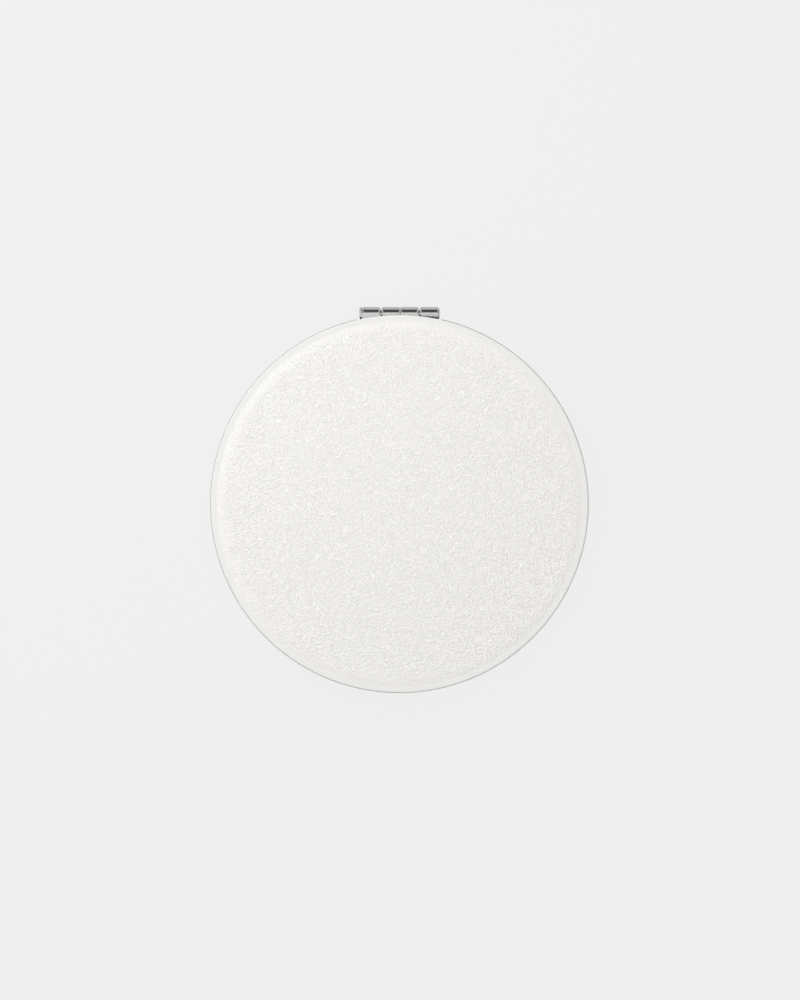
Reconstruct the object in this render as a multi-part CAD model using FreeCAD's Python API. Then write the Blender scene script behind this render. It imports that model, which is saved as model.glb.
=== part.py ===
import FreeCAD, Part
import math
import os

# A round pocket mirror that opens like a book: two pressed steel pans, padded and covered in white
# leather, joined by a rolled knuckle hinge. The lid holds a plain mirror, the base a magnifying one.
# Millimetres, +Z up. The origin is the centre of the base's flat face, which the closed case lies on,
# and the hinge is at +Y. Each half is drawn as the base; the lid is its reflection in the parting plane.

# Case: pan, padding and leather
case_diameter = 70.0          # over the metal rims
leather_thickness = 0.8
foam_thickness = 0.8
shoulder_radius = 7.0         # outside bend where the padded face starts to fall
shoulder_degrees = 13.0       # how far the face has turned at the end of that bend
hollow_radius = 2.5           # bend back from there to the flat lip beside the rim
lip_land = 0.1                # flat of the lip inside the leather's upright wall
edge_radius = 0.3             # outside bend from the lip to that wall
shell_wall = 0.5              # steel sheet of the pan
shell_bend_radius = 1.8       # outside bend of the pan
rim_height = 0.55             # flange at the mouth of the pan
rim_overhang = 0.36           # how far the rim stands outside the leather
rim_round = 0.16              # rounding of the rim's outer corners
rim_gap = 0.2                 # between the two rims when closed
foam_taper_share = 0.45       # how far the foam's edge climbs the pan's bend

# Nail nick, a shallow dip in the base's rim at the front
nick_width = 12.0
nick_depth = 0.3

# Mirrors and the adhesive foam tape behind them
glass_thickness = 1.3
glass_chamfer = 0.15          # ground edge
magnifier_curve_radius = 550.0
tape_thickness = 0.5          # behind the middle of the magnifying mirror
tape_margin = 0.6             # between the tape and the hinge's feet
mirror_side_clearance = 0.1
mirror_lip_clearance = 0.05

# Bezel ring, a moulded channel that frames the mirror and holds the magnet
bezel_plate = 0.55            # thickness of the face
bezel_overlap = 0.6           # over the edge of the glass
bezel_skirt = 0.7             # thickness of the two walls under the face
bezel_recess = 0.1            # face below the rim
bezel_fit = 0.08              # to the pan's wall
bezel_land = 0.15             # upright part of the sight edge
bezel_bevel = 0.5             # width of the slope beside the glass
pocket_rib = 0.6              # walls at the magnet's ends

# Closing magnets, one bar at the front of each half
magnet_length = 10.0
magnet_width = 2.0
magnet_height = 1.5
magnet_fit = 0.08

# Bumpers on the base's bezel, which keep the two halves from knocking
bumper_diameter = 2.4
bumper_round = 0.12
bumper_clearance = 0.05       # to the lid's bezel when closed
bumper_angles = (-35.0, 35.0)  # from the front, in degrees

# Hinge: two leaves rolled round one pin, riveted to the pans
pin_diameter = 1.5
pin_clearance = 0.05          # all round, in the knuckles
pin_head_thickness = 0.45
pin_head_round = 0.36         # dome of the head
pin_tail_thickness = 0.15
pin_tail_flare = 0.3          # spread of the closed end beyond the shank
pin_tail_round = 0.1
leaf_thickness = 0.4
leaf_bend = 0.3               # inside radius of the leaf's folds
leaf_clearance = 0.05         # to the bezel
foot_length = 3.2             # the part riveted to the pan
knuckle_pairs = 2             # each a lid knuckle with a base knuckle to its right
knuckle_length = 3.38
knuckle_round = 0.22          # at the knuckles' ends
knuckle_corner = 0.36         # at the right end of the lid's knuckles, beside the wide gaps
wide_gap = 0.27               # between the two knuckles of a pair
narrow_gap = 0.05             # at all other ends along the pin
curl_degrees = 285.0          # how far a knuckle wraps round the pin
tail_tilt = 12.0              # slope of the leaf where it runs into a knuckle, in degrees
hinge_offset = 0.2            # pin axis outside the rims
barrel_clearance = 0.12       # round the knuckles
notch_side_clearance = 0.15   # at the ends of the hinge
rivet_diameter = 1.2
rivet_hole_clearance = 0.05
rivet_head_diameter = 1.9
rivet_head_height = 0.3
rivet_spacing = 9.0
rivet_pocket_clearance = 0.3  # in the foam, round the closed end

cut_overrun = 1.0             # how far every cut runs past what it cuts

# Radii from the rim inwards
case_radius = case_diameter / 2
leather_radius = case_radius - rim_overhang
shell_radius = leather_radius - leather_thickness
shell_inner_radius = shell_radius - shell_wall
edge_inset = leather_radius - edge_radius
lip_radius = shell_radius - lip_land
fall_radius = shoulder_radius + hollow_radius
leather_flat_radius = lip_radius - fall_radius * math.sin(math.radians(shoulder_degrees))
shell_flat_radius = shell_radius - shell_bend_radius
bezel_radius = shell_inner_radius - bezel_fit
channel_outer_radius = bezel_radius - bezel_skirt
magnet_reach = magnet_length / 2 + magnet_fit
channel_inner_radius = (
    math.sqrt(channel_outer_radius ** 2 - magnet_reach ** 2) - magnet_width - 2 * magnet_fit
)
mirror_radius = channel_inner_radius - bezel_skirt - mirror_side_clearance
sight_radius = mirror_radius - bezel_overlap

# Heights from the leather's outer face up to the parting plane between the two halves
lip_z = fall_radius * (1 - math.cos(math.radians(shoulder_degrees)))
lip_inner_z = lip_z + leather_thickness
hollow_z = lip_z - hollow_radius
shell_outer_z = leather_thickness + foam_thickness
shell_bend_z = shell_outer_z + shell_bend_radius
magnifier_sag = magnifier_curve_radius - math.sqrt(magnifier_curve_radius ** 2 - mirror_radius ** 2)
floor_z = shell_outer_z + shell_wall
magnifier_back_z = floor_z + tape_thickness
magnifier_front_z = magnifier_back_z + glass_thickness
glass_edge_z = magnifier_front_z + magnifier_sag
plate_z = glass_edge_z + mirror_lip_clearance
bezel_z = plate_z + bezel_plate
rim_z = bezel_z + bezel_recess
rim_low_z = rim_z - rim_height
parting_z = rim_z + rim_gap / 2

# Hinge places
pin_radius = pin_diameter / 2
curl_radius = pin_radius + pin_clearance
barrel_radius = curl_radius + leaf_thickness
axis_y = case_radius + hinge_offset
axis_z = parting_z
barrel_low_z = axis_z - barrel_radius
slot_y = axis_y - barrel_radius - barrel_clearance
tilt_sine = math.sin(math.radians(tail_tilt))
tilt_cosine = math.cos(math.radians(tail_tilt))
roll_y = axis_y - barrel_radius * tilt_sine
roll_z = axis_z - barrel_radius * tilt_cosine
slope_run = roll_y - slot_y - leaf_bend * tilt_sine
tail_z = roll_z + slope_run * tilt_sine / tilt_cosine + leaf_bend * (1 - tilt_cosine)
pair_pitch = 2 * knuckle_length + wide_gap + narrow_gap
hinge_width = pin_head_thickness + narrow_gap + knuckle_pairs * pair_pitch + pin_tail_thickness
hinge_left = -hinge_width / 2
leaf_left = hinge_left + pin_head_thickness + narrow_gap
leaf_width = knuckle_pairs * pair_pitch - narrow_gap
leaf_right = leaf_left + leaf_width
lid_knuckles = [leaf_left + pair * pair_pitch for pair in range(knuckle_pairs)]
base_knuckles = [left + knuckle_length + wide_gap for left in lid_knuckles]
leaf_reach = max(-leaf_left, leaf_right)
web_y = math.sqrt(shell_flat_radius ** 2 - leaf_reach ** 2)
foot_y = web_y - foot_length
rivet_y = (foot_y + web_y - leaf_thickness - leaf_bend) / 2
rivet_places = [(side * rivet_spacing / 2, rivet_y) for side in (-1, 1)]
tape_radius = foot_y - tape_margin

CENTRE = FreeCAD.Vector(0, 0, 0)
ALONG_X = FreeCAD.Vector(1, 0, 0)
ALONG_Y = FreeCAD.Vector(0, 1, 0)
UP = FreeCAD.Vector(0, 0, 1)


def in_section(radius, height):
    """A point of a section through the case's own axis."""
    return FreeCAD.Vector(radius, 0, height)


def across_hinge(y, z):
    """A point of a section across the hinge, at the leaf's left end."""
    return FreeCAD.Vector(leaf_left, y, z)


def on_axis(x):
    """A point of the hinge pin's axis."""
    return FreeCAD.Vector(x, axis_y, axis_z)


class Outline:
    """Lines and arcs, drawn on from one point to the next and closed into a face."""

    def __init__(self, place, start):
        self.place = place
        self.start = start
        self.now = start
        self.edges = []

    def to(self, *points):
        for point in points:
            self.edges.append(Part.LineSegment(self.place(*self.now), self.place(*point)).toShape())
            self.now = point
        return self

    def turn(self, centre, degrees):
        """An arc about a centre, anticlockwise for positive degrees."""
        middle = self.turned(centre, degrees / 2)
        end = self.turned(centre, degrees)
        ends = [self.place(*point) for point in (self.now, middle, end)]
        self.edges.append(Part.Arc(*ends).toShape())
        self.now = end
        return self

    def turned(self, centre, degrees):
        angle = math.radians(degrees)
        across = self.now[0] - centre[0]
        up = self.now[1] - centre[1]
        return (
            centre[0] + across * math.cos(angle) - up * math.sin(angle),
            centre[1] + across * math.sin(angle) + up * math.cos(angle),
        )

    def face(self):
        self.to(self.start)
        return Part.Face(Part.Wire(self.edges))

    def revolved(self):
        """The closed outline turned once about the case's axis."""
        return self.face().revolve(CENTRE, UP, 360)


def box(low, high):
    """A block between two corners."""
    size = [top - bottom for bottom, top in zip(low, high)]
    return Part.makeBox(*size, FreeCAD.Vector(*low))


def rod(radius, start, end, direction):
    """A round bar along one of the axes, between two places on it."""
    return Part.makeCylinder(radius, (end - start).Length, start, direction)


def ring(inner_radius, outer_radius, low_z, high_z):
    """A flat ring about the case's axis."""
    outline = Outline(in_section, (inner_radius, low_z))
    return outline.to((outer_radius, low_z), (outer_radius, high_z), (inner_radius, high_z)).revolved()


def lid_side(shape):
    """The same piece in the lid: the base's half reflected in the parting plane."""
    return shape.mirror(FreeCAD.Vector(0, 0, parting_z), UP)


def hinge_notch():
    """Room for the barrel, cut in the wall of the pan and in the leather between two radial planes."""
    half_angle = math.degrees(math.asin((hinge_width / 2 + notch_side_clearance) / shell_radius))
    low_z = barrel_low_z - barrel_clearance
    high_z = parting_z + cut_overrun
    far = case_radius + cut_overrun
    outline = Outline(in_section, (channel_outer_radius, low_z))
    outline.to((far, low_z), (far, high_z), (channel_outer_radius, high_z))
    sector = outline.face().revolve(CENTRE, UP, 2 * half_angle)
    sector.rotate(CENTRE, UP, 90 - half_angle)
    return sector


def rivet_bores(radius, low_z, high_z):
    """Round cuts at the rivets, between two heights."""
    bores = []
    for x, y in rivet_places:
        start = FreeCAD.Vector(x, y, low_z)
        bores.append(rod(radius, start, FreeCAD.Vector(x, y, high_z), UP))
    return Part.makeCompound(bores)


def padded_edge(outline, height):
    """Draws the fall of the leather, or of the foam under it, from the flat face to the lip."""
    outline.to((leather_flat_radius, height))
    outline.turn((leather_flat_radius, shoulder_radius), shoulder_degrees)
    return outline.turn((lip_radius, hollow_z), -shoulder_degrees)


def leather_cover():
    """The skin: flat in the middle, falling to a lip, turned down the pan's wall to the rim."""
    outline = padded_edge(Outline(in_section, (0, 0)), 0)
    outline.to((edge_inset, lip_z)).turn((edge_inset, lip_z + edge_radius), 90)
    outline.to((leather_radius, rim_low_z), (shell_radius, rim_low_z))
    outline.to((shell_radius, lip_inner_z), (lip_radius, lip_inner_z))
    outline.turn((lip_radius, hollow_z), shoulder_degrees)
    outline.turn((leather_flat_radius, shoulder_radius), -shoulder_degrees).to((0, leather_thickness))
    return outline.revolved().cut(hinge_notch())


def foam_pad():
    """The padding, thinned towards its edge where it climbs the pan's bend."""
    top_z = shell_outer_z + foam_taper_share * shell_bend_radius
    drop = shell_bend_z - top_z
    bend_degrees = math.degrees(math.acos(drop / shell_bend_radius))
    inner_edge = (shell_flat_radius + math.sqrt(shell_bend_radius ** 2 - drop ** 2), top_z)
    outline = padded_edge(Outline(in_section, (0, leather_thickness)), leather_thickness)
    outline.to((shell_radius, lip_inner_z), (shell_radius, top_z), inner_edge)
    outline.turn((shell_flat_radius, shell_bend_z), -bend_degrees).to((0, shell_outer_z))
    pocket_radius = rivet_head_diameter / 2 + rivet_pocket_clearance
    pockets = rivet_bores(pocket_radius, leather_thickness, shell_outer_z)
    return outline.revolved().cut(pockets)


def pan():
    """The pressed steel pan: floor, bend, wall and an outward flange with rounded corners."""
    inner_bend = shell_bend_radius - shell_wall
    bend_centre = (shell_flat_radius, shell_bend_z)
    corner = case_radius - rim_round
    outline = Outline(in_section, (0, shell_outer_z))
    outline.to((shell_flat_radius, shell_outer_z)).turn(bend_centre, 90)
    outline.to((shell_radius, rim_low_z), (corner, rim_low_z)).turn((corner, rim_low_z + rim_round), 90)
    outline.to((case_radius, rim_z - rim_round)).turn((corner, rim_z - rim_round), 90)
    outline.to((shell_inner_radius, rim_z), (shell_flat_radius + inner_bend, shell_bend_z))
    outline.turn(bend_centre, -90).to((0, floor_z))
    hole_radius = rivet_diameter / 2 + rivet_hole_clearance
    holes = rivet_bores(hole_radius, shell_outer_z - cut_overrun, floor_z + cut_overrun)
    return outline.revolved().cut(hinge_notch()).cut(holes)


def nail_nick():
    """The round dip at the front of the base's rim."""
    radius = (nick_width ** 2 / 4 + nick_depth ** 2) / (2 * nick_depth)
    height = rim_z - nick_depth + radius
    start = FreeCAD.Vector(0, -case_radius - cut_overrun, height)
    return rod(radius, start, FreeCAD.Vector(0, -channel_outer_radius, height), ALONG_Y)


def plain_mirror():
    """The lid's flat glass with ground edges, at the height of the other mirror's edge."""
    back_z = glass_edge_z - glass_thickness
    inner = mirror_radius - glass_chamfer
    outline = Outline(in_section, (0, back_z))
    outline.to((inner, back_z), (mirror_radius, back_z + glass_chamfer))
    outline.to((mirror_radius, glass_edge_z - glass_chamfer), (inner, glass_edge_z), (0, glass_edge_z))
    return outline.revolved()


def magnifying_mirror():
    """The base's glass, bowed to a hollow sphere on its front and by the same curve behind."""
    sweep = math.degrees(math.asin(mirror_radius / magnifier_curve_radius))
    back_centre = (0, magnifier_back_z + magnifier_curve_radius)
    front_centre = (0, magnifier_front_z + magnifier_curve_radius)
    outline = Outline(in_section, (0, magnifier_back_z))
    outline.turn(back_centre, sweep).to((mirror_radius, glass_edge_z)).turn(front_centre, -sweep)
    return outline.revolved()


def plain_tape():
    """The tape disc that lifts the flat mirror to the bezel."""
    return Part.makeCylinder(tape_radius, glass_edge_z - glass_thickness - floor_z, in_section(0, floor_z))


def magnifier_tape():
    """The tape disc behind the bowed mirror, which it follows."""
    sweep = math.degrees(math.asin(tape_radius / magnifier_curve_radius))
    rise = magnifier_curve_radius * (1 - math.cos(math.radians(sweep)))
    outline = Outline(in_section, (0, floor_z))
    outline.to((tape_radius, floor_z), (tape_radius, magnifier_back_z + rise))
    outline.turn((0, magnifier_back_z + magnifier_curve_radius), -sweep)
    return outline.revolved()


def magnet():
    """The closing magnet at the front of the channel, against the underside of the bezel's face."""
    inner_y = -channel_inner_radius - magnet_fit
    low = (-magnet_length / 2, inner_y - magnet_width, plate_z - magnet_height)
    return box(low, (magnet_length / 2, inner_y, plate_z))


def bezel():
    """The ring round the glass: a sloped face over two walls, with a pocket and a gap for the hinge."""
    inner_wall = channel_inner_radius - bezel_skirt
    outline = Outline(in_section, (inner_wall, floor_z))
    outline.to((channel_inner_radius, floor_z), (channel_inner_radius, plate_z))
    outline.to((channel_outer_radius, plate_z), (channel_outer_radius, shell_bend_z))
    outline.to((bezel_radius, shell_bend_z), (bezel_radius, bezel_z))
    outline.to((sight_radius + bezel_bevel, bezel_z))
    outline.to((sight_radius, plate_z + bezel_land), (sight_radius, plate_z), (inner_wall, plate_z))
    body = outline.revolved()
    channel = ring(channel_inner_radius, channel_outer_radius, plate_z - magnet_height, plate_z)
    near = magnet_reach
    far = magnet_reach + pocket_rib
    for left, right in ((-far, -near), (near, far)):
        low = (left, -bezel_radius, plate_z - magnet_height)
        body = body.fuse(channel.common(box(low, (right, 0, plate_z))))
    reach = leaf_reach + leaf_clearance
    gap_low = (-reach, inner_wall * math.cos(math.asin(reach / inner_wall)), floor_z - cut_overrun)
    gap_high = (reach, bezel_radius + cut_overrun, tail_z + leaf_thickness + leaf_clearance)
    return body.removeSplitter().cut(box(gap_low, gap_high))


def round_tool(end_x, inward, rounding):
    """The ring that rounds the outer edge at one end of a knuckle."""
    low = barrel_radius - rounding
    outline = Outline(lambda x, radius: FreeCAD.Vector(x, axis_y, axis_z + radius), (end_x, low))
    outline.turn((end_x + inward * rounding, low), -90 * inward)
    outline.to((end_x, barrel_radius))
    return outline.face().revolve(on_axis(end_x), ALONG_X, 360)


def hinge_leaf(knuckles, right_round):
    """One leaf as stamped: a riveted foot, a web, a tail through the pan's wall, and rolled knuckles."""
    fold = leaf_bend + leaf_thickness
    pin_axis = (axis_y, axis_z)
    foot_fold = (web_y - fold, floor_z + fold)
    tail_fold = (web_y + leaf_bend, tail_z - leaf_bend)
    slope_fold = (slot_y, tail_z - leaf_bend)
    outline = Outline(across_hinge, (foot_y, floor_z))
    outline.to((web_y - fold, floor_z)).turn(foot_fold, 90)
    outline.to((web_y, tail_z - leaf_bend)).turn(tail_fold, -90)
    outline.to((slot_y, tail_z)).turn(slope_fold, -tail_tilt)
    outline.to((roll_y, roll_z)).turn(pin_axis, curl_degrees)
    curl_end = math.radians(curl_degrees - 90 - tail_tilt)
    outline.to((axis_y + curl_radius * math.cos(curl_end), axis_z + curl_radius * math.sin(curl_end)))
    outline.turn(pin_axis, -curl_degrees)
    outline.to((slot_y + fold * tilt_sine, tail_z - leaf_bend + fold * tilt_cosine))
    outline.turn(slope_fold, tail_tilt)
    outline.to((web_y + leaf_bend, tail_z + leaf_thickness)).turn(tail_fold, 90)
    outline.to((web_y - leaf_thickness, floor_z + fold)).turn(foot_fold, -90)
    outline.to((foot_y, floor_z + leaf_thickness))
    leaf = outline.face().extrude(ALONG_X * leaf_width)
    slot_start = leaf_left - cut_overrun
    for slot_end in [*knuckles, leaf_right + cut_overrun]:
        low = (slot_start, slot_y, barrel_low_z - cut_overrun)
        high = (slot_end, axis_y + barrel_radius + cut_overrun, axis_z + barrel_radius + cut_overrun)
        leaf = leaf.cut(box(low, high))
        slot_start = slot_end + knuckle_length
    for left in knuckles:
        leaf = leaf.cut(round_tool(left, 1, knuckle_round))
        leaf = leaf.cut(round_tool(left + knuckle_length, -1, right_round))
    hole_radius = rivet_diameter / 2 + rivet_hole_clearance
    return leaf.cut(rivet_bores(hole_radius, floor_z - cut_overrun, floor_z + leaf_thickness + cut_overrun))


def rivet(x, y):
    """A rivet through the leaf's foot and the pan: a head inside, a closed end under the padding."""
    radius = rivet_diameter / 2
    head_radius = rivet_head_diameter / 2
    bottom = FreeCAD.Vector(x, y, shell_outer_z - rivet_head_height)
    foot_top = FreeCAD.Vector(x, y, floor_z + leaf_thickness)
    closed_end = Part.makeCone(radius, head_radius, rivet_head_height, bottom)
    head = Part.makeCone(head_radius, radius, rivet_head_height, foot_top)
    return rod(radius, bottom, foot_top, UP).fuse(closed_end).fuse(head).removeSplitter()


def rivets():
    return Part.makeCompound([rivet(x, y) for x, y in rivet_places])


def rounded_disc(radius, left, right, outer_x, rounding):
    """A disc on the pin's axis with the rim of its outer face rounded."""
    disc = rod(radius, on_axis(left), on_axis(right), ALONG_X)
    circles = [edge for edge in disc.Edges if edge.Closed]
    rims = [edge for edge in circles if abs(edge.CenterOfMass.x - outer_x) < rounding / 2]
    return disc.makeFillet(rounding, rims)


def hinge_pin():
    """The pin: a domed head at the left end, a shank, and a spread end at the right."""
    head_end = hinge_left + pin_head_thickness
    tail_end = -hinge_left
    tail_start = tail_end - pin_tail_thickness
    head = rounded_disc(barrel_radius, hinge_left, head_end, hinge_left, pin_head_round)
    tail = rounded_disc(pin_radius + pin_tail_flare, tail_start, tail_end, tail_end, pin_tail_round)
    shank = rod(pin_radius, on_axis(head_end), on_axis(tail_start), ALONG_X)
    return head.fuse(shank).fuse(tail).removeSplitter()


def bumpers():
    """Soft dots at the front of the base's bezel, a little thinner than the closed gap."""
    height = 2 * (parting_z - bezel_z) - bumper_clearance
    ring_radius = (sight_radius + bezel_bevel + bezel_radius) / 2
    dots = []
    for degrees in bumper_angles:
        angle = math.radians(degrees)
        place = FreeCAD.Vector(ring_radius * math.sin(angle), -ring_radius * math.cos(angle), bezel_z)
        dot = Part.makeCylinder(bumper_diameter / 2, height, place)
        top = [edge for edge in dot.Edges if edge.Closed and edge.CenterOfMass.z > bezel_z + height / 2]
        dots.append(dot.makeFillet(bumper_round, top))
    return Part.makeCompound(dots)


def all_pieces():
    """Every piece of the closed mirror, by name."""
    shell = pan()
    leather = leather_cover()
    foam = foam_pad()
    frame = bezel()
    bar = magnet()
    fixings = rivets()
    return {
        "base_shell": shell.cut(nail_nick()),
        "base_foam_pad": foam,
        "base_leather": leather,
        "base_mirror": magnifying_mirror(),
        "base_mirror_tape": magnifier_tape(),
        "base_bezel": frame,
        "base_magnet": bar,
        "base_bumpers": bumpers(),
        "base_hinge_leaf": hinge_leaf(base_knuckles, knuckle_round),
        "base_hinge_rivets": fixings,
        "hinge_pin": hinge_pin(),
        "lid_shell": lid_side(shell),
        "lid_foam_pad": lid_side(foam),
        "lid_leather": lid_side(leather),
        "lid_mirror": lid_side(plain_mirror()),
        "lid_mirror_tape": lid_side(plain_tape()),
        "lid_bezel": lid_side(frame),
        "lid_magnet": lid_side(bar),
        "lid_hinge_leaf": lid_side(hinge_leaf(lid_knuckles, knuckle_corner)),
        "lid_hinge_rivets": lid_side(fixings),
    }


os.makedirs("parts", exist_ok=True)
for name, shape in all_pieces().items():
    shape.exportStep(f"parts/{name}.step")
    print(f"{name}: {len(shape.Solids)} solids, {shape.Volume:.1f} mm3, valid {shape.isValid()}")
print(f"closed case {case_diameter:.1f} across, {2 * parting_z:.2f} thick, hinge {hinge_width:.2f} wide")
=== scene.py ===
import math

import bmesh
import bpy
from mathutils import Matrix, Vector


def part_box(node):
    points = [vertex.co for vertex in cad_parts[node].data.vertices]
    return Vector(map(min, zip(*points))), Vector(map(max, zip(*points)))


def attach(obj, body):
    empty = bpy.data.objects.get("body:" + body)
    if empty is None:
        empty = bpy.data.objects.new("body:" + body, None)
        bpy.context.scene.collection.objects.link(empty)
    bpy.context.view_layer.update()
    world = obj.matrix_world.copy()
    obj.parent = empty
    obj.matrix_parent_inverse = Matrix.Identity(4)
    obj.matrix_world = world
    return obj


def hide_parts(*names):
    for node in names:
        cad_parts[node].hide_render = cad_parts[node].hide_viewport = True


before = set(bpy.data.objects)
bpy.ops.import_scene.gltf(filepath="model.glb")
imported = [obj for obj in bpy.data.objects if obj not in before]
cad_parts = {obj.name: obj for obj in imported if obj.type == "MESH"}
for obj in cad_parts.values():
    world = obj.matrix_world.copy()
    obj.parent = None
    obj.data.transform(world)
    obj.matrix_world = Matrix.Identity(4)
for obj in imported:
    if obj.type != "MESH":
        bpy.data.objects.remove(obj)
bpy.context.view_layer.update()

bl_info = {
    "name": "Compact Mirror",
    "version": (1, 0, 0),
    "blender": (4, 5, 0),
    "location": "View3D > Sidebar > Compact Mirror",
    "description": "Dresses a folding pocket mirror in leather, steel, chrome and silvered glass",
    "category": "Object",
}

LEATHER_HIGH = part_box("base_leather")[1]
GLASS_LOW, GLASS_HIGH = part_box("base_mirror")
RIVETS_LOW, RIVETS_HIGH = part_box("base_hinge_rivets")
PIN_LOW, PIN_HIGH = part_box("hinge_pin")
LID_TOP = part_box("lid_leather")[1].z

HALVES = ("base", "lid")
WHITE = (1, 1, 1)
LEATHER_STEPS = 360
ROUND_STEPS = 180
SMOOTH_ANGLE = math.radians(40)

# How near two points or rings count as one, and lengths that only have to be ample, in metres.
SAME_POINT = 0.000001
SAME_RING = 0.00002
BEYOND = 0.01
POCKET_DEPTH = 0.004

# The lamps, the table and the room that shows in gloss, in metres.
OVERHEAD_PLACE = (0, 0, 0.52)
OVERHEAD_SIZE = 0.36
KEY_PLACE = (-0.168, 0.168, 0.177)
KEY_SIZE = 0.1
TABLE_RADIUS = 4.0
ROOM_MIDDLE = (0, -0.1, 0.51)
ROOM_FOOT_RADIUS = 1.3
ROOM_TOP_RADIUS = 0.35
ROOM_HEIGHT = 0.98


def length(name, description, default):
    """A size in metres, shown in the scene's own unit."""
    return bpy.props.FloatProperty(
        name=name, description=description, default=default, min=0.0, precision=5, unit="LENGTH"
    )


def share(name, description, default):
    """A number from nothing to one."""
    return bpy.props.FloatProperty(
        name=name, description=description, default=default, min=0.0, max=1.0, subtype="FACTOR"
    )


def colour(name, description, default):
    """A colour, in linear light."""
    return bpy.props.FloatVectorProperty(
        name=name,
        description=description,
        default=default,
        size=3,
        min=0.0,
        max=1.0,
        subtype="COLOR",
    )


def sky_level(name, description, default):
    """A strength of light from all sides."""
    return bpy.props.FloatProperty(name=name, description=description, default=default, min=0.0)


def lamp_power(name, description, default):
    """The power of a lamp."""
    return bpy.props.FloatProperty(
        name=name, description=description, default=default, unit="POWER"
    )


class LeatherSettings(bpy.types.PropertyGroup):
    """The skin of each half: a padded face that falls to a pressed lip, and a wall."""

    radius: length("Outer radius", "From the case's axis to the leather's side", LEATHER_HIGH.x)
    height: length("Height", "From the flat face to the rim", LEATHER_HIGH.z)
    thickness: length("Thickness", "Of the skin", 0.0008)
    shoulder: length("Shoulder", "Outside radius where the padded face starts to fall", 0.007)
    turn: bpy.props.FloatProperty(
        name="Shoulder turn",
        description="How far the face has turned at the end of the shoulder",
        default=math.radians(13),
        subtype="ANGLE",
    )
    hollow: length("Hollow", "Radius of the bend back to the flat lip", 0.0025)
    land: length("Lip land", "Flat of the lip inside the upright wall", 0.0001)
    dish: length("Lip dish", "How far the lip's outer edge stands over its foot", 0.0001)
    edge: length("Edge", "Outside radius of the bend from the lip to the wall", 0.00018)
    tuck: length("Tuck", "Rounding of the edge beside the rim", 0.00014)
    seam: length("Seam", "Gap between the leather's edge and the rim", 0.00003)
    hinge_gap: length("Hinge gap", "Half width of the notch for the hinge", PIN_HIGH.x + 0.00035)
    hinge_room: length("Hinge room", "Between the hinge's barrel and the notch", 0.00012)
    grain: length("Grain", "Distance from one wrinkle of the grain to the next", 0.00037)
    depth: length("Grain depth", "Height of the grain", 0.00026)
    pale: colour("Leather", "Body of the grain", (0.824, 0.808, 0.777))
    # Crests: the tops of the grain tinted lighter, a painted highlight.
    painted_crest_highlight: colour("Crests", "Tops of the grain", (0.91, 0.893, 0.858))
    # Lip: a darker tone on the lip and wall, painted shade below the padded shoulder.
    lip: colour("Lip", "Pressed lip and wall", (0.758, 0.749, 0.726))


class PaddingSettings(bpy.types.PropertyGroup):
    """The foam between the leather and the pan."""

    thickness: length("Thickness", "Of the foam under the flat face", 0.0008)
    climb: share("Climb", "How far the edge climbs the pan's bend", 0.45)
    pan_bend: length("Pan bend", "Outside radius of the pan's bend", 0.0018)
    pocket: length("Rivet pocket", "Radius of the pocket round a rivet's closed end", 0.00125)
    pore: length("Pores", "Size of the foam's pores", 0.0003)
    cream: colour("Foam", "Colour of the foam", (0.74, 0.70, 0.60))


class GlassSettings(bpy.types.PropertyGroup):
    """The two mirrors."""

    thickness: length("Thickness", "Of the glass", 0.0013)
    bow: length("Bow", "Radius of the magnifying mirror's hollow front", 0.55)
    silver: colour("Silvering", "Colour of the reflection", (0.90, 0.92, 0.915))
    edge: colour("Glass edge", "Colour at the edge of the glass", (0.58, 0.72, 0.66))


class MetalSettings(bpy.types.PropertyGroup):
    """Steel, chrome, plating and nickel."""

    steel: colour("Steel", "The two pans and their rims", (0.72, 0.72, 0.725))
    chrome: colour("Chrome", "The hinge, its pin and its rivets", (0.75, 0.755, 0.765))
    plating: colour("Plating", "The rings round the mirrors", (0.70, 0.70, 0.71))
    nickel: colour("Nickel", "The closing magnets", (0.60, 0.575, 0.53))


class SoftSettings(bpy.types.PropertyGroup):
    """Adhesive tape and bumpers."""

    pore: length("Pores", "Size of the tape's pores", 0.00015)
    tape: colour("Tape", "Adhesive foam tape behind the mirrors", (0.78, 0.78, 0.75))
    silicone: colour("Bumpers", "Clear soft dots", (0.84, 0.86, 0.86))


class StageSettings(bpy.types.PropertyGroup):
    """Table, light and camera."""

    table: colour("Table", "Table and background", (0.863, 0.863, 0.863))
    shadow: share("Shadow", "How much of the shadow the table shows", 0.06)
    mirrored_dark: share("Mirrored dark", "How much of the dimmed table shows in gloss", 0.75)
    mirrored_level: share("Mirrored table", "Level of the dimmed table", 0.55)
    room_dark: share("Room, dark", "Level of the strip behind the hinge, in gloss", 0.06)
    room_low: share("Room, low", "Level of the walls near the table, in gloss", 0.2)
    room_high: share("Room, high", "Level of the walls higher up, in gloss", 0.75)
    room_window: share("Window", "Level of the window at the upper left, in gloss", 0.95)
    sky_low: sky_level("Low sky", "Light from all sides, near the table", 0.95)
    sky_high: sky_level("High sky", "Light from all sides, straight above", 0.31)
    overhead_power: lamp_power("Overhead light", "Power of the large light above", 0.98)
    key_power: lamp_power("Key light", "Power of the light at the upper left", 0.34)
    lens: bpy.props.FloatProperty(
        name="Lens",
        description="Focal length in millimetres",
        default=135.0,
        subtype="DISTANCE_CAMERA",
    )
    height: length("Camera height", "Of the camera over the table", 0.6993)
    across: length("Camera offset right", "Of the camera from the case's axis", 0.0001)
    along: length("Camera offset up", "From the case's axis, towards the hinge", 0.0007)


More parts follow.
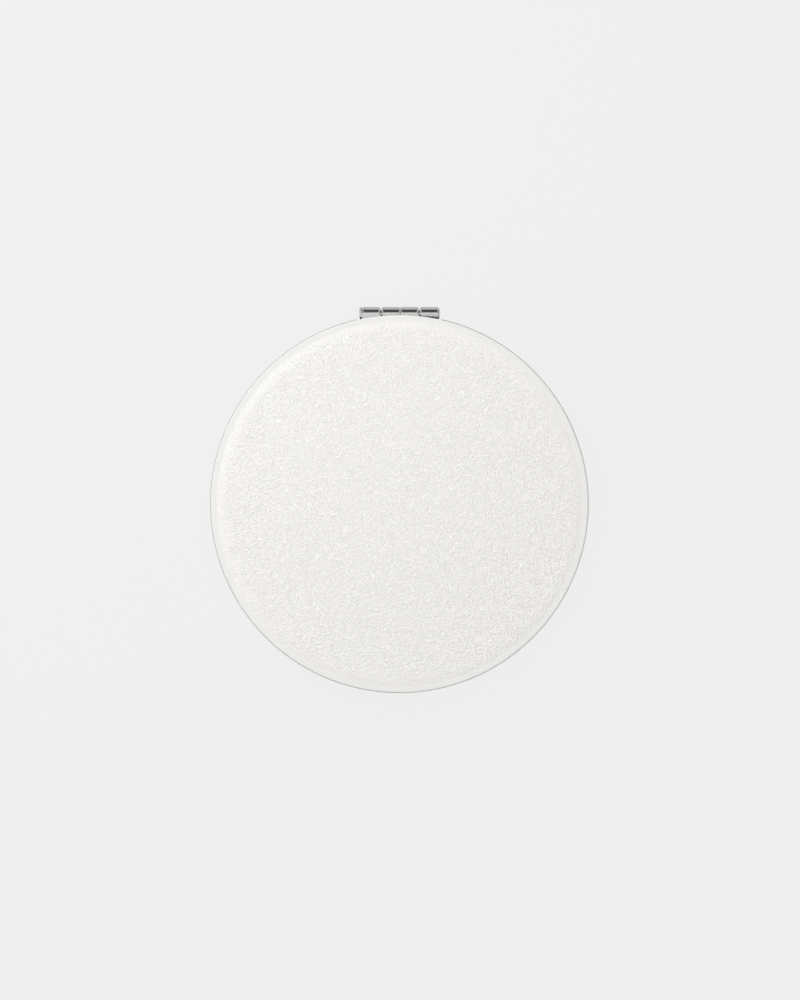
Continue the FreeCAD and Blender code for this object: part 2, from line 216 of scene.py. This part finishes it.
class Value:
    """A number that changes over a surface: a node's output, whose arithmetic adds Math nodes."""

    def __init__(self, finish, socket):
        self.finish = finish
        self.socket = socket

    def maths(self, operation, *values):
        sockets = dict(enumerate(values))
        return self.finish.node("ShaderNodeMath", {"operation": operation}, sockets)

    def __add__(self, other):
        return self.maths("ADD", self, other)

    def __radd__(self, other):
        return self.maths("ADD", other, self)

    def __sub__(self, other):
        return self.maths("SUBTRACT", self, other)

    def __rsub__(self, other):
        return self.maths("SUBTRACT", other, self)

    def __mul__(self, other):
        return self.maths("MULTIPLY", self, other)

    def __rmul__(self, other):
        return self.maths("MULTIPLY", other, self)

    def __truediv__(self, other):
        return self.maths("DIVIDE", self, other)

    def __rtruediv__(self, other):
        return self.maths("DIVIDE", other, self)


class Finish:
    """A material or the world while its nodes are laid."""

    def __init__(self, owner):
        owner.use_nodes = True
        self.owner = owner
        self.tree = owner.node_tree
        self.tree.nodes.clear()

    def node(self, kind, settings=None, sockets=None, output=0):
        """Adds a node: its settings, then its sockets' values or links. Gives an output, if any."""
        added = self.tree.nodes.new(kind)
        for name, setting in (settings or {}).items():
            setattr(added, name, setting)
        for name, value in (sockets or {}).items():
            if isinstance(value, Value):
                self.tree.links.new(value.socket, added.inputs[name])
            elif added.inputs[name].type == "RGBA":
                added.inputs[name].default_value = (*value, 1.0)
            else:
                added.inputs[name].default_value = value
        return Value(self, added.outputs[output]) if added.outputs else None

    def vector(self, operation, *values, output=0):
        """Arithmetic on vectors."""
        sockets = dict(enumerate(values))
        return self.node("ShaderNodeVectorMath", {"operation": operation}, sockets, output)

    def part(self, vector, axis):
        """One of a vector's three numbers."""
        return self.node("ShaderNodeSeparateXYZ", None, {"Vector": vector}, axis)

    def place(self, scale):
        """Object coordinates times a scale."""
        here = self.node("ShaderNodeTexCoord", output="Object")
        return self.node("ShaderNodeVectorMath", {"operation": "SCALE"}, {0: here, "Scale": scale})

    def noise(self, vector, scale, detail, roughness=0.5, output="Fac"):
        sockets = {"Vector": vector, "Scale": scale, "Detail": detail, "Roughness": roughness}
        return self.node("ShaderNodeTexNoise", None, sockets, output)

    def cells(self, vector, scale):
        """How far a point lies from the nearest of many scattered spots."""
        sockets = {"Vector": vector, "Scale": scale}
        return self.node("ShaderNodeTexVoronoi", {"feature": "F1"}, sockets, "Distance")

    def ease(self, value, low, high):
        """A smooth rise from none to one while the value goes from low to high."""
        sockets = {"Value": value, "From Min": low, "From Max": high}
        return self.node("ShaderNodeMapRange", {"interpolation_type": "SMOOTHSTEP"}, sockets)

    def tint(self, factor, first, second):
        """A colour between two."""
        sockets = {"Factor": factor, 6: first, 7: second}
        return self.node("ShaderNodeMix", {"data_type": "RGBA"}, sockets, 2)

    def bump(self, height, distance):
        sockets = {"Strength": 1.0, "Distance": distance, "Height": height}
        return self.node("ShaderNodeBump", None, sockets)

    def glow(self, shade, strength):
        """A surface that gives its own light."""
        return self.node("ShaderNodeEmission", None, {"Color": shade, "Strength": strength})

    def mix(self, factor, first, second):
        """A shader between two."""
        return self.node("ShaderNodeMixShader", None, {0: factor, 1: first, 2: second})

    def surface(self, sockets):
        """Ends a material in one shader for the whole surface."""
        shader = self.node("ShaderNodeBsdfPrincipled", None, sockets)
        self.node("ShaderNodeOutputMaterial", None, {"Surface": shader})
        return self.owner


def new_finish(name):
    return Finish(bpy.data.materials.new(name))


def distance_from_axis(finish, scale):
    """How far a point lies from the case's own axis."""
    flat = finish.vector("MULTIPLY", finish.place(scale), (1, 1, 0))
    return finish.vector("LENGTH", flat, output="Value")


def dimmed(shade, share_left):
    """A colour at a share of its strength."""
    return tuple(share_left * level for level in shade)


def leather_finish(settings):
    """White leather: its grain thins on the shoulder and the wall, and the lip is smooth. The tops
    of the grain take a lighter colour, a painted highlight, and the lip and wall a darker tone,
    painted shade.
    """
    finish = new_finish("white_grained_leather")
    place = finish.place(1 / settings.grain)
    drift = finish.noise(place, 0.9, 2.0, output="Color")
    centred = finish.vector("SUBTRACT", drift, (0.5, 0.5, 0.5))
    wrinkled = finish.vector("MULTIPLY_ADD", centred, (0.9, 0.9, 0.9), place)
    ridges = finish.cells(wrinkled, 1.0)
    folds = finish.noise(place, 1.1, 1.0)
    wrinkles = 0.5 * ridges + 0.8 * folds
    mean_wrinkle = 0.63
    lip_radius, _ = lip_start(settings)
    distance = distance_from_axis(finish, 1.0)
    stretched = finish.ease(distance, flat_end(settings) - 0.001, lip_radius)
    wall = finish.ease(distance, settings.radius - 0.0001, settings.radius - 0.00002)
    lip = finish.ease(distance, lip_radius - 0.0006, lip_radius + 0.0002)
    # The lip and wall lose grain and roughness, and take the darker lip tone: painted shade below
    # the shoulder.
    pressed_and_shaded = lip * (1 - 0.8 * wall)
    grain = (wrinkles - mean_wrinkle) * (1 - 0.5 * stretched) * (1 - 0.9 * pressed_and_shaded)
    # Painted highlight: the grain's tops are tinted lighter, fading out on the shoulder.
    high = finish.ease(wrinkles, 0.64, 0.85) * (1 - stretched)
    grained = finish.tint(high, settings.pale, settings.painted_crest_highlight)
    return finish.surface({
        "Base Color": finish.tint(pressed_and_shaded, grained, settings.lip),
        "Roughness": 0.42 - 0.08 * high - 0.1 * pressed_and_shaded,
        "Normal": finish.bump(grain, settings.depth),
    })


def foam_finish(name, shade, pore):
    """Closed-cell foam: matt, with small round pores, tinted darker inside as painted shade,
    unevenly at random.
    """
    finish = new_finish(name)
    place = finish.place(1 / pore)
    pores = finish.ease(finish.cells(place, 1.0), 0.1, 0.55)
    # Painted shade: the pores are tinted darker, more or less at random.
    darker = dimmed(shade, 0.82)
    uneven = finish.noise(place, 0.2, 3.0)
    return finish.surface({
        "Base Color": finish.tint(pores * uneven, shade, darker),
        "Roughness": 0.82 + 0.12 * uneven,
        "Normal": finish.bump(1 - pores, 0.4 * pore),
    })


def turned_steel_finish(shade):
    """Polished sheet with faint rings from the polishing wheel."""
    finish = new_finish("polished_steel_sheet")
    rings_per_metre = 9000.0
    outward = distance_from_axis(finish, rings_per_metre)
    rise = finish.part(finish.place(rings_per_metre), "Z")
    ring_place = finish.node("ShaderNodeCombineXYZ", None, {"X": outward, "Y": rise})
    rings = finish.noise(ring_place, 1.0, 2.0)
    smears = finish.noise(finish.place(160.0), 1.0, 3.0)
    darker = dimmed(shade, 0.9)
    return finish.surface({
        "Base Color": finish.tint(smears, shade, darker),
        "Metallic": 1.0,
        "Roughness": 0.1 + 0.12 * rings + 0.06 * smears,
        "Normal": finish.bump(rings, 0.000002),
    })


def chrome_finish(shade):
    """Bright plating over a rolled sheet, with a soft haze and fine marks along the roll."""
    finish = new_finish("bright_hinge_chrome")
    place = finish.place(1000.0)
    stretched = finish.node("ShaderNodeMapping", None, {"Vector": place, "Scale": (0.7, 7.0, 7.0)})
    marks = finish.noise(stretched, 1.6, 3.0)
    haze = finish.noise(place, 0.8, 2.0)
    darker = dimmed(shade, 0.92)
    return finish.surface({
        "Base Color": finish.tint(haze, shade, darker),
        "Metallic": 1.0,
        "Roughness": 0.1 + 0.1 * haze * marks,
        "Normal": finish.bump(marks, 0.000002),
    })


def plating_finish(shade):
    """Satin silver plating over a moulded ring."""
    finish = new_finish("satin_silver_plating")
    place = finish.place(1000.0)
    fine = finish.noise(place, 6.0, 3.0)
    cloud = finish.noise(place, 0.25, 2.0)
    darker = dimmed(shade, 0.93)
    return finish.surface({
        "Base Color": finish.tint(cloud, shade, darker),
        "Metallic": 1.0,
        "Roughness": 0.24 + 0.08 * fine + 0.05 * cloud,
        "Normal": finish.bump(fine, 0.000004),
    })


def nickel_finish(shade):
    """Nickel on a bar magnet: warm, dull, with small pits."""
    finish = new_finish("nickel_plated_magnet")
    place = finish.place(1000.0)
    pits = finish.ease(finish.cells(place, 3.0), 0.05, 0.3)
    cloud = finish.noise(place, 0.7, 3.0)
    darker = dimmed(shade, 0.85)
    return finish.surface({
        "Base Color": finish.tint(cloud, shade, darker),
        "Metallic": 1.0,
        "Roughness": 0.28 + 0.14 * cloud,
        "Normal": finish.bump(pits, 0.000008),
    })


def mirror_finish(settings, rim_radius):
    """Silvered glass, with a faint bloom and the green of the glass at its very edge."""
    finish = new_finish("silvered_mirror_glass")
    bloom = finish.noise(finish.place(70.0), 1.0, 4.0, 0.6)
    specks = finish.noise(finish.place(2600.0), 1.0, 1.0)
    edge_width = 0.0002
    rim = finish.ease(distance_from_axis(finish, 1.0), rim_radius - edge_width, rim_radius)
    return finish.surface({
        "Base Color": finish.tint(rim, settings.silver, settings.edge),
        "Metallic": 1 - 0.6 * rim,
        "Roughness": 0.012 + 0.02 * bloom * specks + 0.2 * rim,
    })


def silicone_finish(shade):
    """A clear soft dot, slightly frosted."""
    finish = new_finish("clear_silicone_dot")
    frost = finish.noise(finish.place(2500.0), 1.0, 3.0)
    cloudier = dimmed(shade, 0.94)
    return finish.surface({
        "Base Color": finish.tint(frost, shade, cloudier),
        "Roughness": 0.24 + 0.16 * frost,
        "Normal": finish.bump(frost, 0.000006),
        "IOR": 1.41,
        "Transmission Weight": 0.55,
    })


def dress(material, *nodes):
    """Gives CAD nodes a finish."""
    for name in nodes:
        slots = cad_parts[name].data.materials
        slots.clear()
        slots.append(material)


def arc(centre, radius, first, last, steps):
    """Points of a section on an arc, from one angle to another, in degrees from straight down."""
    points = []
    for step in range(steps + 1):
        angle = math.radians(first + (last - first) * step / steps)
        points.append((centre[0] + radius * math.sin(angle), centre[1] - radius * math.cos(angle)))
    return points


def start_ring(name, radius, height, steps):
    """Starts a round piece as one ring of edges about the case's axis, open for editing."""
    bpy.ops.object.select_all(action="DESELECT")
    bpy.ops.mesh.primitive_circle_add(
        vertices=steps, radius=radius, fill_type="NOTHING", location=(0, 0, height)
    )
    piece = bpy.context.object
    piece.name = name
    piece.data.name = name
    bpy.ops.object.transform_apply(location=True, rotation=True, scale=True)
    bpy.ops.object.mode_set(mode="EDIT")
    bpy.ops.mesh.select_mode(type="EDGE")
    bpy.ops.mesh.select_all(action="SELECT")
    return piece


def select_ring(piece, radius, height):
    """Selects the open ring of edges at one radius and height, and nothing else."""
    mesh = bmesh.from_edit_mesh(piece.data)
    for edge in mesh.edges:
        edge.select_set(False)
    for edge in mesh.edges:
        middle = (edge.verts[0].co + edge.verts[1].co) / 2
        level = abs(middle.z - height) < SAME_RING
        if level and abs(middle.xy.length - radius) < SAME_RING and edge.is_boundary:
            edge.select_set(True)
    mesh.select_flush_mode()
    bmesh.update_edit_mesh(piece.data)


def draw_rings(section):
    """Extrudes the selected ring from one point of a section to the next."""
    for (radius, height), (next_radius, next_height) in zip(section, section[1:]):
        lift = {"value": (0, 0, next_height - height)}
        bpy.ops.mesh.extrude_edges_move(TRANSFORM_OT_translate=lift)
        grow = next_radius / radius
        bpy.ops.transform.resize(value=(grow, grow, 1), center_override=(0, 0, 0))


def finish_piece(piece, outwards):
    """Ends the edit: no doubles, smooth but for real edges, faces turned to a spot outside."""
    bpy.ops.mesh.select_all(action="SELECT")
    bpy.ops.mesh.remove_doubles(threshold=SAME_POINT)
    bpy.ops.mesh.normals_make_consistent(inside=False)
    mesh = bmesh.from_edit_mesh(piece.data)
    nearest = min(mesh.faces, key=lambda face: (face.calc_center_median() - outwards).length)
    if nearest.normal.dot(outwards - nearest.calc_center_median()) < 0:
        bpy.ops.mesh.flip_normals()
    bpy.ops.object.mode_set(mode="OBJECT")
    bpy.ops.object.shade_smooth_by_angle(angle=SMOOTH_ANGLE)


def apply_modifier(piece, kind, settings):
    """Adds a modifier and applies it at once."""
    modifier = piece.modifiers.new(kind.lower(), kind)
    for name, setting in settings.items():
        setattr(modifier, name, setting)
    bpy.context.view_layer.objects.active = piece
    bpy.ops.object.modifier_apply(modifier=modifier.name)


def hand_over(piece, body, node, material):
    """Gives a finished piece its material and its body, and hides the CAD node that it stands for.
    """
    piece.data.materials.clear()
    piece.data.materials.append(material)
    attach(piece, body)
    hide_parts(node)


def flipped(section, top):
    """A section of the base's half as it lies in the lid."""
    return [(radius, top - height) for radius, height in section]


def lip_start(settings):
    """Where the leather's fall ends in its lip: distance from the axis, depth under the face."""
    fall = settings.shoulder + settings.hollow
    lip_radius = settings.radius - settings.thickness - settings.land
    return lip_radius, fall * (1 - math.cos(settings.turn))


def flat_end(settings):
    """How far from the axis the leather's flat face ends and its fall starts."""
    lip_radius, _ = lip_start(settings)
    return lip_radius - (settings.shoulder + settings.hollow) * math.sin(settings.turn)


def padded_edge(settings, depth):
    """The section of the leather's fall to its lip, at a depth under the outer face."""
    lip_radius, lip_depth = lip_start(settings)
    turn = math.degrees(settings.turn)
    shoulder_centre = (flat_end(settings), settings.shoulder)
    shoulder = arc(shoulder_centre, settings.shoulder - depth, 0, turn, 12)
    hollow_centre = (lip_radius, lip_depth - settings.hollow)
    return shoulder + arc(hollow_centre, settings.hollow + depth, 180 + turn, 180, 8)[1:]


def round_shell(name, section, steps, in_lid):
    """A closed round piece, from the section of its outer face, its side and its inner face."""
    if in_lid:
        section = flipped(section, LID_TOP)
    piece = start_ring(name, *section[0], steps)
    bpy.ops.mesh.fill_grid(span=steps // 4)
    select_ring(piece, *section[0])
    draw_rings(section)
    bpy.ops.mesh.fill_grid(span=steps // 4)
    outside = section[0][1] + (BEYOND if in_lid else -BEYOND)
    finish_piece(piece, Vector((0, 0, outside)))
    return piece


def leather_cover(name, settings, in_lid):
    """The skin of one half: a disc that falls to a lip, and a wall with a notch for the hinge."""
    _, lip_depth = lip_start(settings)
    end = settings.height - settings.seam
    inside = settings.radius - settings.thickness
    corner = (settings.radius - settings.edge, lip_depth - settings.dish + settings.edge)
    tuck_centre = (settings.radius - settings.tuck, end - settings.tuck)
    section = [
        *padded_edge(settings, 0.0),
        *arc(corner, settings.edge, 0, 90, 10),
        *arc(tuck_centre, settings.tuck, 90, 180, 4),
        (inside, end),
        (inside, lip_depth + settings.thickness),
        *reversed(padded_edge(settings, settings.thickness)),
    ]
    piece = round_shell(name, section, LEATHER_STEPS, in_lid)
    notch(piece, settings, in_lid)
    bpy.ops.object.shade_smooth_by_angle(angle=SMOOTH_ANGLE)
    return piece


def notch(piece, settings, in_lid):
    """Cuts the room for the hinge's barrel into the leather's wall."""
    depth = 4 * settings.thickness
    middle = PIN_LOW.z - settings.hinge_room + depth / 2
    height = LID_TOP - middle if in_lid else middle
    bpy.ops.object.select_all(action="DESELECT")
    room = (2 * settings.hinge_gap, 2 * depth, depth)
    bpy.ops.mesh.primitive_cube_add(size=1, location=(0, settings.radius, height), scale=room)
    cut_away(piece, bpy.context.object)


def cut_away(piece, cutter):
    """Takes a cutter's form out of a piece, then removes the cutter."""
    cut = {"operation": "DIFFERENCE", "object": cutter, "solver": "EXACT"}
    apply_modifier(piece, "BOOLEAN", cut)
    bpy.data.objects.remove(cutter)


def rivet_pockets(piece, settings, in_lid):
    """Cuts the pockets for the rivets' closed ends into a foam pad."""
    spread = (RIVETS_LOW.x + RIVETS_HIGH.x) / 2
    reach = RIVETS_HIGH.x - (RIVETS_HIGH.y - RIVETS_LOW.y) / 2
    along = (RIVETS_LOW.y + RIVETS_HIGH.y) / 2
    height = LID_TOP - RIVETS_LOW.z if in_lid else RIVETS_LOW.z
    for side in (-1, 1):
        bpy.ops.object.select_all(action="DESELECT")
        place = (spread + side * reach, along, height)
        bpy.ops.mesh.primitive_cylinder_add(
            vertices=40, radius=settings.pocket, depth=POCKET_DEPTH, location=place
        )
        cut_away(piece, bpy.context.object)


def foam_pad(name, settings, leather, in_lid):
    """The padding of one half, thinned where it climbs the pan's bend."""
    pan_face = leather.thickness + settings.thickness
    pan_radius = leather.radius - leather.thickness
    bend_centre = (pan_radius - settings.pan_bend, pan_face + settings.pan_bend)
    top = pan_face + settings.climb * settings.pan_bend
    bend_turn = math.degrees(math.acos((bend_centre[1] - top) / settings.pan_bend))
    outer = padded_edge(leather, leather.thickness)
    inner = arc(bend_centre, settings.pan_bend, bend_turn, 0, 10)
    side = [(pan_radius, outer[-1][1]), (pan_radius, top)]
    section = [*outer, *side, *inner, (outer[0][0], pan_face)]
    piece = round_shell(name, section, ROUND_STEPS, in_lid)
    rivet_pockets(piece, settings, in_lid)
    bpy.ops.object.shade_smooth_by_angle(angle=SMOOTH_ANGLE)
    return piece


def bowed_glass(name, settings):
    """The magnifying mirror: a hollow front and a back bowed alike, drawn from its edge."""
    front_rings = 64
    back_rings = 32
    rim_radius = GLASS_HIGH.x
    turn = math.degrees(math.asin(rim_radius / settings.bow))
    back_centre = (0, GLASS_LOW.z + settings.bow)
    front_centre = (0, GLASS_LOW.z + settings.thickness + settings.bow)
    front = arc(front_centre, settings.bow, turn, turn / front_rings, front_rings - 1)
    back = arc(back_centre, settings.bow, turn, turn / back_rings, back_rings - 1)
    piece = start_ring(name, *front[0], ROUND_STEPS)
    draw_rings(front)
    bpy.ops.mesh.edge_face_add()
    bpy.ops.mesh.poke()
    select_ring(piece, *front[0])
    draw_rings([front[0], *back])
    bpy.ops.mesh.edge_face_add()
    bpy.ops.mesh.poke()
    finish_piece(piece, Vector((0, 0, GLASS_HIGH.z + rim_radius)))
    return piece


class LeatherCovers(bpy.types.Operator):
    """Cover both halves in grained white leather"""

    bl_idname = "compact_mirror.leather_covers"
    bl_label = "Leather Covers"

    def execute(self, context):
        settings = context.scene.compact_leather
        material = leather_finish(settings)
        lip_radius, lip_depth = lip_start(settings)
        fall = (settings.shoulder + settings.hollow) * (settings.turn - math.sin(settings.turn))
        lip = settings.radius - lip_radius - settings.edge * (2 - math.pi / 2)
        wall = settings.height - lip_depth + settings.dish
        cut_radius = lip_radius + fall + lip + wall
        for half in HALVES:
            piece = leather_cover(f"{half}_leather_cover", settings, half == "lid")
            hand_over(piece, half, f"{half}_leather", material)
            2 * cut_radius
            2 * cut_radius
            math.pi * cut_radius ** 2
        return {"FINISHED"}


class FoamPads(bpy.types.Operator):
    """Lay the foam between the leather and the pans"""

    bl_idname = "compact_mirror.foam_pads"
    bl_label = "Foam Pads"

    def execute(self, context):
        settings = context.scene.compact_padding
        leather = context.scene.compact_leather
        material = foam_finish("padding_foam", settings.cream, settings.pore)
        for half in HALVES:
            piece = foam_pad(f"{half}_padding", settings, leather, half == "lid")
            hand_over(piece, half, f"{half}_foam_pad", material)
        return {"FINISHED"}


class MirrorGlass(bpy.types.Operator):
    """Set the magnifying mirror and silver both glasses"""

    bl_idname = "compact_mirror.mirror_glass"
    bl_label = "Mirror Glass"

    def execute(self, context):
        settings = context.scene.compact_glass
        material = mirror_finish(settings, GLASS_HIGH.x)
        piece = bowed_glass("magnifying_glass", settings)
        hand_over(piece, "base", "base_mirror", material)
        dress(material, "lid_mirror")
        return {"FINISHED"}


class MetalFinishes(bpy.types.Operator):
    """Polish the pans, chrome the hinge, plate the rings and the magnets"""

    bl_idname = "compact_mirror.metal_finishes"
    bl_label = "Metal Finishes"

    def execute(self, context):
        settings = context.scene.compact_metal
        dress(turned_steel_finish(settings.steel), "base_shell", "lid_shell")
        chrome = chrome_finish(settings.chrome)
        dress(chrome, "base_hinge_leaf", "lid_hinge_leaf", "hinge_pin")
        dress(chrome, "base_hinge_rivets", "lid_hinge_rivets")
        dress(plating_finish(settings.plating), "base_bezel", "lid_bezel")
        dress(nickel_finish(settings.nickel), "base_magnet", "lid_magnet")
        return {"FINISHED"}


class SoftFinishes(bpy.types.Operator):
    """Finish the adhesive tape and the bumpers"""

    bl_idname = "compact_mirror.soft_finishes"
    bl_label = "Tape and Bumpers"

    def execute(self, context):
        settings = context.scene.compact_soft
        tape = foam_finish("adhesive_foam_tape", settings.tape, settings.pore)
        dress(tape, "base_mirror_tape", "lid_mirror_tape")
        dress(silicone_finish(settings.silicone), "base_bumpers")
        return {"FINISHED"}


def rays(finish, kind):
    """One on a kind of ray, none on the others."""
    return finish.node("ShaderNodeLightPath", output=f"Is {kind} Ray")


def lay_table(settings):
    """A wide pale table, seen at its own colour with a part of its shadow, and dimmer in gloss."""
    bpy.ops.object.select_all(action="DESELECT")
    bpy.ops.mesh.primitive_circle_add(
        vertices=96, radius=TABLE_RADIUS, fill_type="NGON", location=(0, 0, 0)
    )
    table = bpy.context.object
    table.name = "table"
    finish = new_finish("pale_table")
    matt = finish.node("ShaderNodeBsdfDiffuse", None, {"Color": settings.table})
    plain = finish.glow(settings.table, 1.0)
    dim = finish.glow(settings.table, settings.mirrored_level)
    straight = (1 - settings.shadow) * (rays(finish, "Camera") + rays(finish, "Transmission"))
    mirrored = settings.mirrored_dark * rays(finish, "Glossy")
    mixed = finish.mix(mirrored, finish.mix(straight, matt, plain), dim)
    finish.node("ShaderNodeOutputMaterial", None, {"Surface": mixed})
    table.data.materials.append(finish.owner)


def light_sky(settings):
    """Soft light from all sides, stronger low down, seen as the background's own colour."""
    world = bpy.data.worlds.new("studio")
    bpy.context.scene.world = world
    finish = Finish(world)
    skies = []
    levels = ((settings.table, 1.0), (WHITE, settings.sky_low), (WHITE, settings.sky_high))
    for shade, level in levels:
        sockets = {"Color": shade, "Strength": level}
        skies.append(finish.node("ShaderNodeBackground", None, sockets))
    seen, low, high = skies
    rise = finish.part(finish.node("ShaderNodeTexCoord", output="Generated"), "Z")
    factor = rays(finish, "Camera") + rays(finish, "Glossy") + rays(finish, "Transmission")
    mixed = finish.mix(factor, finish.mix(rise, low, high), seen)
    finish.node("ShaderNodeOutputWorld", None, {"Surface": mixed})


def hang_light(name, place, size, power):
    """A square soft light aimed at the case, seen neither by the camera nor in gloss."""
    bpy.ops.object.select_all(action="DESELECT")
    bpy.ops.object.light_add(type="AREA", location=place)
    light = bpy.context.object
    light.name = name
    light.data.size = size
    light.data.energy = power
    light.rotation_euler = (-light.location).to_track_quat("-Z", "Y").to_euler()
    light.visible_camera = False
    light.visible_glossy = False


def wall_off_room(settings):
    """The room seen only in gloss: walls paler higher up, a dark strip and a window."""
    bpy.ops.object.select_all(action="DESELECT")
    bpy.ops.mesh.primitive_cone_add(
        vertices=96,
        radius1=ROOM_FOOT_RADIUS,
        radius2=ROOM_TOP_RADIUS,
        depth=ROOM_HEIGHT,
        end_fill_type="NOTHING",
        location=ROOM_MIDDLE,
    )
    bpy.ops.object.transform_apply(location=True, rotation=True, scale=True)
    room = bpy.context.object
    room.name = "dim_room"
    finish = new_finish("dim_room")
    here = finish.place(1.0)
    radius = distance_from_axis(finish, 1.0)
    across = finish.part(here, "X") / radius
    along = finish.part(here, "Y") / radius
    rise = finish.part(here, "Z")
    higher = finish.ease(rise, 0.1, 0.9)
    behind = finish.ease(along, 0.93, 0.985)
    window = finish.ease(0.6 * along - 0.8 * across, 0.62, 0.85) * finish.ease(rise, 0.3, 0.55)
    low = finish.glow(WHITE, settings.room_low)
    high = finish.glow(WHITE, settings.room_high)
    walls = finish.mix(higher, low, high)
    walls = finish.mix(behind, walls, finish.glow(WHITE, settings.room_dark))
    walls = finish.mix(window, walls, finish.glow(WHITE, settings.room_window))
    clear = finish.node("ShaderNodeBsdfTransparent")
    faded = finish.ease(rise, 0.0, 0.45) * finish.ease(rise, 1.0, 0.94)
    mixed = finish.mix(faded, clear, walls)
    finish.node("ShaderNodeOutputMaterial", None, {"Surface": mixed})
    room.data.materials.append(finish.owner)
    room.visible_camera = False
    room.visible_diffuse = False
    room.visible_shadow = False
    room.visible_transmission = False


class StudioStage(bpy.types.Operator):
    """Set the table, the light and the camera"""

    bl_idname = "compact_mirror.studio_stage"
    bl_label = "Studio Stage"

    def execute(self, context):
        settings = context.scene.compact_stage
        context.scene.view_settings.view_transform = "Standard"
        lay_table(settings)
        light_sky(settings)
        hang_light("overhead", OVERHEAD_PLACE, OVERHEAD_SIZE, settings.overhead_power)
        hang_light("key", KEY_PLACE, KEY_SIZE, settings.key_power)
        wall_off_room(settings)
        bpy.ops.object.select_all(action="DESELECT")
        place = (settings.across, settings.along, settings.height)
        bpy.ops.object.camera_add(location=place, rotation=(0, 0, 0))
        camera = context.object
        camera.data.lens = settings.lens
        camera.data.clip_start = 0.01
        context.scene.camera = camera
        return {"FINISHED"}


class MirrorPanel(bpy.types.Panel):
    """The steps in order, with their sizes and colours"""

    bl_idname = "VIEW3D_PT_compact_mirror"
    bl_label = "Compact Mirror"
    bl_space_type = "VIEW_3D"
    bl_region_type = "UI"
    bl_category = "Compact Mirror"

    def draw(self, context):
        for step, settings in STEPS:
            part = self.layout.box()
            part.operator(step.bl_idname)
            group = getattr(context.scene, settings)
            for name in group.bl_rna.properties.keys():
                if name not in ("rna_type", "name"):
                    part.prop(group, name)


SETTINGS = {
    "compact_leather": LeatherSettings,
    "compact_padding": PaddingSettings,
    "compact_glass": GlassSettings,
    "compact_metal": MetalSettings,
    "compact_soft": SoftSettings,
    "compact_stage": StageSettings,
}
STEPS = (
    (LeatherCovers, "compact_leather"),
    (FoamPads, "compact_padding"),
    (MirrorGlass, "compact_glass"),
    (MetalFinishes, "compact_metal"),
    (SoftFinishes, "compact_soft"),
    (StudioStage, "compact_stage"),
)


def register():
    for name, settings in SETTINGS.items():
        bpy.utils.register_class(settings)
        setattr(bpy.types.Scene, name, bpy.props.PointerProperty(type=settings))
    for step, _ in STEPS:
        bpy.utils.register_class(step)
    bpy.utils.register_class(MirrorPanel)


def unregister():
    bpy.utils.unregister_class(MirrorPanel)
    for step, _ in STEPS:
        bpy.utils.unregister_class(step)
    for name, settings in SETTINGS.items():
        delattr(bpy.types.Scene, name)
        bpy.utils.unregister_class(settings)


def main():
    register()
    bpy.ops.compact_mirror.leather_covers()
    bpy.ops.compact_mirror.foam_pads()
    bpy.ops.compact_mirror.mirror_glass()
    bpy.ops.compact_mirror.metal_finishes()
    bpy.ops.compact_mirror.soft_finishes()
    bpy.ops.compact_mirror.studio_stage()


if __name__ == "__main__":
    main()
